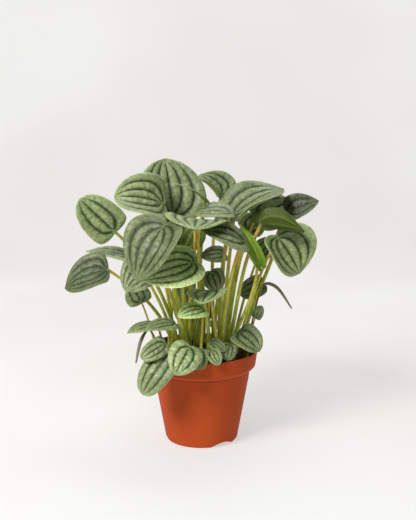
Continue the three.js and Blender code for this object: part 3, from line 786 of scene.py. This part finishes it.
def blade_material():
    """Dark veins between silvery lanes with painted shade deepening towards the vein grooves, side veins, a
    fine net, a pale margin that is partly painted highlight, a green heel, and undersides brightened with
    painted light through the leaf.
    """
    nodes = Nodes("blade")
    lane = nodes.attribute("lane")
    reach = nodes.attribute("reach")
    share = nodes.attribute("share")
    broad = nodes.noise(45, detail=2)
    coarse = nodes.noise(240, roughness=0.6)
    fine = nodes.noise(850, roughness=0.6)

    crest = nodes.plus(nodes.swell(lane), nodes.ramp(coarse, 0.3, 0.7, -0.08, 0.08))
    crest = nodes.math("MAXIMUM", crest, nodes.ramp(reach, 0.78, 0.92))
    towards_tip = nodes.plus(share, nodes.times(reach, 0.25))
    crest = nodes.plus(crest, nodes.ramp(towards_tip, 0.84, 1.08, 0.0, 0.30))

    vein_edge = nodes.ramp(share, 0.0, 0.45, 0.60, 0.26)
    green = nodes.ramp(crest, 0.0, vein_edge)
    # Each lane's silver is the leaf's own pattern; its gradual darkening from the crest towards the vein
    # grooves, stronger near the heel, is painted shade
    silver_shade_low = nodes.ramp(share, 0.0, 0.45, 0.34, 0.07)
    silver_shade_high = nodes.ramp(share, 0.0, 0.55, 1.60, 0.95)
    silver_and_groove_shade = nodes.ramp(crest, silver_shade_low, silver_shade_high)
    silver_and_groove_shade = nodes.times(silver_and_groove_shade, nodes.ramp(broad, 0.35, 0.65, 0.70, 1.12))
    silver_and_groove_shade = nodes.times(silver_and_groove_shade, nodes.ramp(coarse, 0.3, 0.7, 0.70, 1.14))
    silver_and_groove_shade = nodes.times(silver_and_groove_shade, nodes.ramp(fine, 0.3, 0.7, 0.64, 1.22))
    colour = nodes.mix(green, VEIN_GREEN, LEAF_GREEN)
    colour = nodes.mix(silver_and_groove_shade, colour, SILVER_GREEN)

    slant = nodes.times(nodes.math("FRACT", lane), -SIDE_VEIN_SLANT)
    place = nodes.plus(nodes.times(share, 2 * SIDE_VEINS), slant)
    place = nodes.plus(place, nodes.ramp(coarse, 0.2, 0.8, -0.25, 0.25))
    side_vein = nodes.ramp(nodes.swell(place), 0.0, 0.30, 0.7, 0.0)
    side_vein = nodes.times(side_vein, nodes.ramp(fine, 0.35, 0.6))
    colour = nodes.mix(side_vein, colour, VEIN_GREEN)
    net = nodes.ramp(nodes.cells(360, "DISTANCE_TO_EDGE"), 0.0, 0.10, 0.35, 0.0)
    colour = nodes.mix(nodes.times(net, silver_and_groove_shade), colour, VEIN_GREEN)
    # Pale margin: partly the leaf's own pale edge, partly painted highlight where the edge catches the light
    colour = nodes.mix(nodes.ramp(reach, 0.955, 0.995, 0.0, 0.85), colour, MARGIN_PALE_AND_HIGHLIGHT)
    colour = nodes.mix(nodes.ramp(share, 0.010, 0.055, 0.9, 0.0), colour, HEEL_GREEN)

    # Underside: its own pale green with paler raised ribs, brightened with painted light passing through the
    # leaf, and darker in the hollows between the ribs with painted shade
    backlit_under = nodes.mix(nodes.ramp(crest, 0.0, 0.7), UNDER_BACKLIT_RIB, UNDER_BACKLIT_HOLLOW)
    backlit_under = nodes.mix(nodes.ramp(coarse, 0.3, 0.7, 0.0, 0.2), backlit_under, HEEL_GREEN)
    colour = nodes.mix(nodes.attribute("upper"), backlit_under, colour)
    # Painted light and shade: each leaf's colour is scaled by its own brightness factor
    colour = nodes.mix(1.0, colour, nodes.attribute("painted_light"), "MULTIPLY")

    rough = nodes.ramp(fine, 0.3, 0.7, 0.42, 0.56)
    rough = nodes.times(rough, nodes.minus(1.0, nodes.attribute("gloss")))
    height = nodes.plus(nodes.times(coarse, 0.5), nodes.times(fine, 0.2))
    height = nodes.minus(height, nodes.plus(nodes.times(net, 0.6), side_vein))
    normal = nodes.bump(height, strength=0.45, distance=0.5 * MM)
    return nodes.finish(Base_Color=colour, Roughness=rough, Normal=normal, Specular_IOR_Level=0.38,
                        Coat_Weight=0.10, Coat_Roughness=0.30, Subsurface_Weight=0.10,
                        Subsurface_Radius=(1.0 * MM, 1.8 * MM, 0.5 * MM), Subsurface_Scale=1.0)


def petiole_material():
    """Pale green with long streaks, flushed with orange towards the blade."""
    nodes = Nodes("petiole")
    climb = nodes.attribute("climb")
    streaks = nodes.noise(120, roughness=0.55, vector=nodes.stretched(6, 6, 0.6))
    colour = nodes.mix(nodes.ramp(streaks, 0.3, 0.7), STEM_GREEN, STEM_PALE)
    blush = nodes.ramp(nodes.noise(26, detail=2), 0.3, 0.62, 0.2, 1.0)
    warm = nodes.times(nodes.ramp(climb, 0.3, 0.97, 0.0, 0.8), blush)
    colour = nodes.mix(warm, colour, STEM_ORANGE)
    colour = nodes.mix(nodes.ramp(climb, 0.955, 0.99), colour, HEEL_GREEN)
    rough = nodes.ramp(streaks, 0.2, 0.8, 0.30, 0.45)
    normal = nodes.bump(streaks, strength=0.25, distance=0.4 * MM)
    return nodes.finish(Base_Color=colour, Roughness=rough, Normal=normal, Specular_IOR_Level=0.36,
                        Subsurface_Weight=0.2, Subsurface_Radius=(1.8 * MM, 1.5 * MM, 0.5 * MM),
                        Subsurface_Scale=1.0)


def pot_material():
    """Terracotta-coloured plastic with pale scuffs, painted shade on the inner wall below the rim and a band
    of painted shade along the crease at the shoulder.
    """
    nodes = Nodes("moulded_plastic")
    broad = nodes.noise(14, roughness=0.55)
    speck = nodes.noise(620, detail=2)
    colour = nodes.mix(nodes.ramp(broad, 0.3, 0.7), POT_DEEP, POT_BRIGHT)
    scuffs = nodes.noise(70, detail=4, roughness=0.65, vector=nodes.stretched(1, 1, 3))
    colour = nodes.mix(nodes.ramp(scuffs, 0.62, 0.85, 0.0, 0.35), colour, POT_SCUFF)
    # Painted shade: the inner wall turns dark below the rim, where the pot's recess is in shade
    inner_shade = nodes.times(nodes.attribute("inside"), nodes.ramp(nodes.height(), INNER_SHADE_START, INNER_SHADE_FULL))
    inner_shade = nodes.times(inner_shade, nodes.ramp(scuffs, 0.2, 0.5, 0.9, 1.0))
    colour = nodes.mix(inner_shade, colour, POT_INNER_SHADE)
    # Painted shade: a dark band along the crease under the collar, where shade falls
    crease = nodes.math("ABSOLUTE", nodes.minus(nodes.height(), CREASE_HEIGHT))
    colour = nodes.mix(nodes.ramp(crease, CREASE_SHADE_CORE, CREASE_SHADE_REACH, 0.75, 0.0), colour, POT_CREASE_SHADE)
    grain = nodes.times(speck, 0.3)
    rough = nodes.ramp(nodes.plus(broad, grain), 0.3, 1.0, 0.50, 0.62)
    normal = nodes.bump(nodes.plus(grain, broad), strength=0.12, distance=0.6 * MM)
    return nodes.finish(Base_Color=colour, Roughness=rough, Normal=normal, Specular_IOR_Level=0.05)


def soil_material():
    """Dark brown clumps with paler flecks."""
    nodes = Nodes("potting_soil")
    clumps = nodes.noise(160, detail=5, roughness=0.65)
    fleck = nodes.noise(700, detail=2)
    colour = nodes.mix(nodes.ramp(clumps, 0.3, 0.7), SOIL_DARK, SOIL_BROWN)
    colour = nodes.mix(nodes.ramp(fleck, 0.62, 0.75, 0.0, 0.6), colour, SOIL_FLECK)
    normal = nodes.bump(clumps, strength=0.8, distance=1.5 * MM)
    return nodes.finish(Base_Color=colour, Roughness=0.95, Normal=normal, Specular_IOR_Level=0.2)


def spike_material():
    """A brown stalk that turns into a grey-green spike, dark between its beads."""
    nodes = Nodes("flower_spike")
    climb = nodes.attribute("climb")
    beads = nodes.cells(900, "F1")
    colour = nodes.mix(nodes.ramp(climb, SWELL_FROM, SWELL_TO), STALK_BROWN, SPIKE_GREY)
    colour = nodes.mix(nodes.ramp(beads, 0.2, 0.7, 0.0, 0.4), colour, SPIKE_GAP)
    normal = nodes.bump(beads, strength=0.5, distance=0.4 * MM)
    return nodes.finish(Base_Color=colour, Roughness=0.7, Normal=normal)


# Pot

def pot_profile():
    """Radius and height from the middle of the underside, up the outside, over the rim and down inside."""
    profile = [(0, 0), *FOOT_CURVE, BODY_FOOT]
    for i in range(1, BODY_SPANS):
        share = i / BODY_SPANS
        profile.append((BODY_FOOT[0] + (BODY_TOP[0] - BODY_FOOT[0]) * share,
                        BODY_FOOT[1] + (BODY_STRAIGHT_TOP - BODY_FOOT[1]) * share))
    profile += [*BODY_TOP_CURVE, SHOULDER, *COLLAR_UNDERSIDE, COLLAR_FOOT, *COLLAR_SIDE]
    profile += arc((RIM_RADIUS - RIM_ROUND, POT_HEIGHT - RIM_ROUND), RIM_ROUND, 0, 180, RIM_STEPS)
    profile.append(INNER_RIM)
    profile += [(radius - WALL, height) for radius, height in (COLLAR_FOOT, SHOULDER, BODY_TOP)]
    profile += [(BODY_FOOT[0] - WALL, INNER_FLOOR), (0, INNER_FLOOR)]
    return profile


def channel_cutter(angle):
    """One arched drain channel, from the middle of the underside out through the bottom edge.

    It is a prism that lies down, and its section runs clockwise, so its faces are flipped.
    """
    half = CHANNEL_WIDTH / 2
    section = [(-half, CHANNEL_BELOW)]
    for i in range(CHANNEL_STEPS + 1):
        across = 2 * i / CHANNEL_STEPS - 1
        section.append((half * across, CHANNEL_HEIGHT * (1 - across ** 2)))
    section.append((half, CHANNEL_BELOW))
    points = []
    for distance in (CHANNEL_INNER_END, RIM_RADIUS):
        for x, z in section:
            points.append((x * math.cos(angle) + distance * math.sin(angle),
                           x * math.sin(angle) - distance * math.cos(angle), z))
    return add_mesh("cutter", points, flipped(prism_faces(len(section))), [])


def drain_cutter(angle):
    """One round hole through the pot's floor."""
    centre = (DRAIN_HOLE_DISTANCE * math.sin(angle), -DRAIN_HOLE_DISTANCE * math.cos(angle))
    points = []
    for height in DRAIN_HOLE_ENDS:
        points += circle(DRAIN_HOLE_RADIUS, DRAIN_HOLE_SIDES, height, centre)
    return add_mesh("cutter", points, prism_faces(DRAIN_HOLE_SIDES), [])


def mark_inside(pot):
    """Tell the material which points lie on the inner wall."""
    levels = [BODY_FOOT, BODY_TOP, SHOULDER, COLLAR_FOOT, (RIM_RADIUS, POT_HEIGHT)]
    places = np.array([vertex.co for vertex in pot.data.vertices]) / MM
    outer = np.interp(places[:, 2], [height for _, height in levels], [radius for radius, _ in levels])
    inside = np.hypot(places[:, 0], places[:, 1]) < outer - WALL / 2
    add_attribute(pot, "inside", inside & (places[:, 2] > BODY_FOOT[1]))


def make_pot(material):
    points, faces = turned(pot_profile(), POT_SEGMENTS)
    pot = add_mesh("pot_detail", points, faces, [material])
    for i in range(CHANNEL_COUNT):
        angle = math.radians(FIRST_CHANNEL + i * 360 / CHANNEL_COUNT)
        cut(pot, channel_cutter(angle))
        cut(pot, drain_cutter(angle))
    for polygon in pot.data.polygons:
        polygon.use_smooth = True
    mark_inside(pot)
    pot.data.set_sharp_from_angle(angle=math.radians(SHARP_ANGLE))
    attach(pot, "root")
    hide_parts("pot")


# Soil

def soil_height(x, y):
    """The soil's top, as in the CAD model: shallow waves and a mound under the stems."""
    waves = math.sin(SOIL_WAVE[0] * x + SOIL_WAVE_START) * math.cos(SOIL_WAVE[1] * y)
    ripple = SOIL_RIPPLE_SHARE * math.sin(SOIL_RIPPLE[0] * x - SOIL_RIPPLE[1] * y)
    away = math.hypot(x - MOUND_CENTRE[0], y - MOUND_CENTRE[1]) / MOUND_SPREAD
    return SOIL_TOP + SOIL_BUMP * (waves + ripple) + MOUND_RISE * math.exp(-away ** 2)


def soil_surface(x, y):
    """The soil's top with clods, falling a little towards the wall."""
    fall = FALL_DEPTH * max(0.0, (math.hypot(x, y) - FALL_START) / FALL_WIDTH) ** 2
    clods = sum(height * noise.noise(Vector((x, y, level)) * frequency) for height, frequency, level in CLODS)
    return soil_height(x, y) - fall + clods


def make_soil(material):
    """The soil as rings of points: its top from the middle outwards, then its side down to the floor."""
    points = [(0, 0, soil_surface(0, 0))]
    for j in range(1, SOIL_RINGS + 1):
        ring = circle(SOIL_EDGE_RADIUS * j / SOIL_RINGS, SOIL_SEGMENTS)
        points += [(x, y, soil_surface(x, y)) for x, y, _ in ring]
    foot = (BODY_FOOT[0], INNER_FLOOR + GAP)
    side = [(radius - WALL - GAP, height) for radius, height in (COLLAR_FOOT, SHOULDER, foot)]
    for radius, height in side:
        points += circle(radius, SOIL_SEGMENTS, height)
    bands = SOIL_RINGS + len(side) - 1
    faces = [(0, 1 + k, 1 + (k + 1) % SOIL_SEGMENTS) for k in range(SOIL_SEGMENTS)]
    for j in range(bands):
        inner = 1 + j * SOIL_SEGMENTS
        outer = inner + SOIL_SEGMENTS
        for k in range(SOIL_SEGMENTS):
            following = (k + 1) % SOIL_SEGMENTS
            faces.append((inner + k, outer + k, outer + following, inner + following))
    last = 1 + bands * SOIL_SEGMENTS
    faces.append(tuple(last + k for k in range(SOIL_SEGMENTS - 1, -1, -1)))
    soil = add_mesh("soil_detail", points, faces, [material])
    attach(soil, "root")
    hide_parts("soil")


# The icosahedron that each crumb starts from
GOLDEN = 1.618
ICOSAHEDRON_RADIUS = 1.9
ICOSAHEDRON = [(0, 1, GOLDEN), (0, -1, GOLDEN), (0, 1, -GOLDEN), (0, -1, -GOLDEN),
               (1, GOLDEN, 0), (-1, GOLDEN, 0), (1, -GOLDEN, 0), (-1, -GOLDEN, 0),
               (GOLDEN, 0, 1), (-GOLDEN, 0, 1), (GOLDEN, 0, -1), (-GOLDEN, 0, -1)]
ICOSAHEDRON_FACES = [(0, 1, 8), (0, 8, 4), (0, 4, 5), (0, 5, 9), (0, 9, 1), (1, 6, 8), (8, 6, 10), (8, 10, 4),
                     (4, 10, 2), (4, 2, 5), (5, 2, 11), (5, 11, 9), (9, 11, 7), (9, 7, 1), (1, 7, 6),
                     (3, 6, 7), (3, 7, 11), (3, 11, 2), (3, 2, 10), (3, 10, 6)]


def make_crumbs(material):
    """Loose crumbs of soil that lie on its top, each a stretched and jittered icosahedron."""
    draw = random.Random(CRUMB_SEED)
    points = []
    faces = []
    for _ in range(CRUMB_COUNT):
        radius = CRUMB_REACH * math.sqrt(draw.random())
        angle = 2 * math.pi * draw.random()
        x = radius * math.cos(angle)
        y = radius * math.sin(angle)
        size = LEAST_CRUMB + CRUMB_SPREAD * draw.random() ** CRUMB_SIZE_POWER
        spin = Euler([draw.uniform(0, 2 * math.pi) for _ in range(3)]).to_matrix()
        stretch = Vector([draw.uniform(*CRUMB_STRETCH) for _ in range(3)])
        centre = Vector((x, y, soil_surface(x, y) + CRUMB_LIFT * size))
        faces += shifted(ICOSAHEDRON_FACES, len(points))
        for corner in ICOSAHEDRON:
            reach = size / ICOSAHEDRON_RADIUS * draw.uniform(*CRUMB_JITTER)
            points.append(centre + spin @ (Vector(corner) * stretch * reach))
    crumbs = add_mesh("soil_crumbs", points, faces, [material], smooth=False)
    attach(crumbs, "root")


# Flower spikes

def smooth_step(share, low, high):
    t = np.clip((share - low) / (high - low), 0, 1)
    return t * t * (3 - 2 * t)


def make_spike(name, route, material):
    """A thin stalk that swells into a beaded spike and then tapers to a rounded end."""
    climb = np.linspace(0, 1, SPIKE_STEPS + 1)
    swollen = smooth_step(climb, SWELL_FROM, SWELL_TO)
    base = STALK_RADIUS + (SPIKE_RADIUS - STALK_RADIUS) * swollen
    base = base * (1 + (SPIKE_TAPER - 1) * smooth_step(climb, TAPER_FROM, 1))
    past = np.clip((climb - (1 - SPIKE_END_LENGTH)) / SPIKE_END_LENGTH, 0, 1)
    end = np.sqrt(np.clip(1 - past ** 2, SPIKE_END_LEAST, 1))
    angles = np.arange(SPIKE_SIDES) / SPIKE_SIDES * 2 * math.pi
    radii = []
    for i in range(SPIKE_STEPS + 1):
        beads = np.cos(BEADS_AROUND * angles + (i % 2) * math.pi) * math.cos(i * math.pi / 2)
        radii.append(base[i] * end[i] * (1 + BEAD_HEIGHT * swollen[i] * beads))
    rings, faces = sweep(smooth_points(route, climb), radii, SPIKE_SIDES)
    spike = add_mesh(name + "_detail", rings, faces, [material])
    add_attribute(spike, "climb", np.repeat(climb, SPIKE_SIDES))
    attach(spike, "root")
    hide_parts(name)


# Stage, lights and camera

def stage_material():
    """Pale and faintly uneven, with a glow of its own like a lit backdrop."""
    nodes = Nodes("stage")
    tint = nodes.ramp(nodes.noise(1.6, detail=2), 0.35, 0.65)
    colour = nodes.mix(tint, STAGE_WARM, STAGE_GREY)
    glow = nodes.mix(tint, GLOW_WARM, GLOW_WHITE)
    return nodes.finish(Base_Color=colour, Roughness=0.9, Specular_IOR_Level=0.0,
                        Emission_Color=glow, Emission_Strength=STAGE_GLOW)


def make_stage():
    """The floor that bends up into a wall, and the far floor that fills the views from other sides."""
    material = stage_material()
    profile = [(FLOOR_FRONT, 0), *arc((BEND_START, BEND_RADIUS), BEND_RADIUS, -90, 0, BEND_STEPS),
               (BEND_START + BEND_RADIUS, WALL_TOP)]
    points = [(x, y, z) for x in (-FLOOR_HALF_WIDTH, FLOOR_HALF_WIDTH) for y, z in profile]
    count = len(profile)
    faces = [(k, k + count, k + count + 1, k + 1) for k in range(count - 1)]
    add_mesh("floor", points, faces, [material])
    corners = [(-1, -1), (1, -1), (1, 1), (-1, 1)]
    points = [(FAR_FLOOR_REACH * x, FAR_FLOOR_REACH * y, FAR_FLOOR_HEIGHT) for x, y in corners]
    add_mesh("far_floor", points, [(0, 1, 2, 3)], [material])


def add_area_light(name, place, target, size, power, colour):
    data = bpy.data.lights.new(name, "AREA")
    data.shape = "DISK"
    data.size = size
    data.energy = power
    data.color = colour
    light = bpy.data.objects.new(name, data)
    light.location = place
    light.rotation_euler = (Vector(target) - Vector(place)).to_track_quat("-Z", "Y").to_euler()
    bpy.context.scene.collection.objects.link(light)


def add_world():
    world = bpy.data.worlds.new("studio")
    world.use_nodes = True
    background = world.node_tree.nodes["Background"]
    background.inputs["Color"].default_value = WORLD_COLOUR
    background.inputs["Strength"].default_value = WORLD_STRENGTH
    bpy.context.scene.world = world


def add_camera():
    data = bpy.data.cameras.new("camera")
    data.sensor_fit = "VERTICAL"
    data.sensor_height = SENSOR_HEIGHT
    data.lens = CAMERA_LENS
    camera = bpy.data.objects.new("camera", data)
    camera.location = CAMERA_PLACE
    camera.rotation_euler = Euler((math.radians(90 - CAMERA_SLOPE), 0, 0))
    bpy.context.scene.collection.objects.link(camera)
    bpy.context.scene.camera = camera


# The plant in its pot

leaf_looks = [blade_material(), petiole_material()]
for order, row in enumerate(LEAF_TABLE):
    make_leaf(read_leaf(order, row), leaf_looks)
soil_look = soil_material()
make_pot(pot_material())
make_soil(soil_look)
make_crumbs(soil_look)
spike_look = spike_material()
for name, route in SPIKE_TABLE:
    make_spike(name, route, spike_look)

# The photograph's setting

make_stage()
for light in LIGHTS:
    add_area_light(*light)
add_world()
add_camera()
bpy.context.scene.view_settings.view_transform = "Standard"
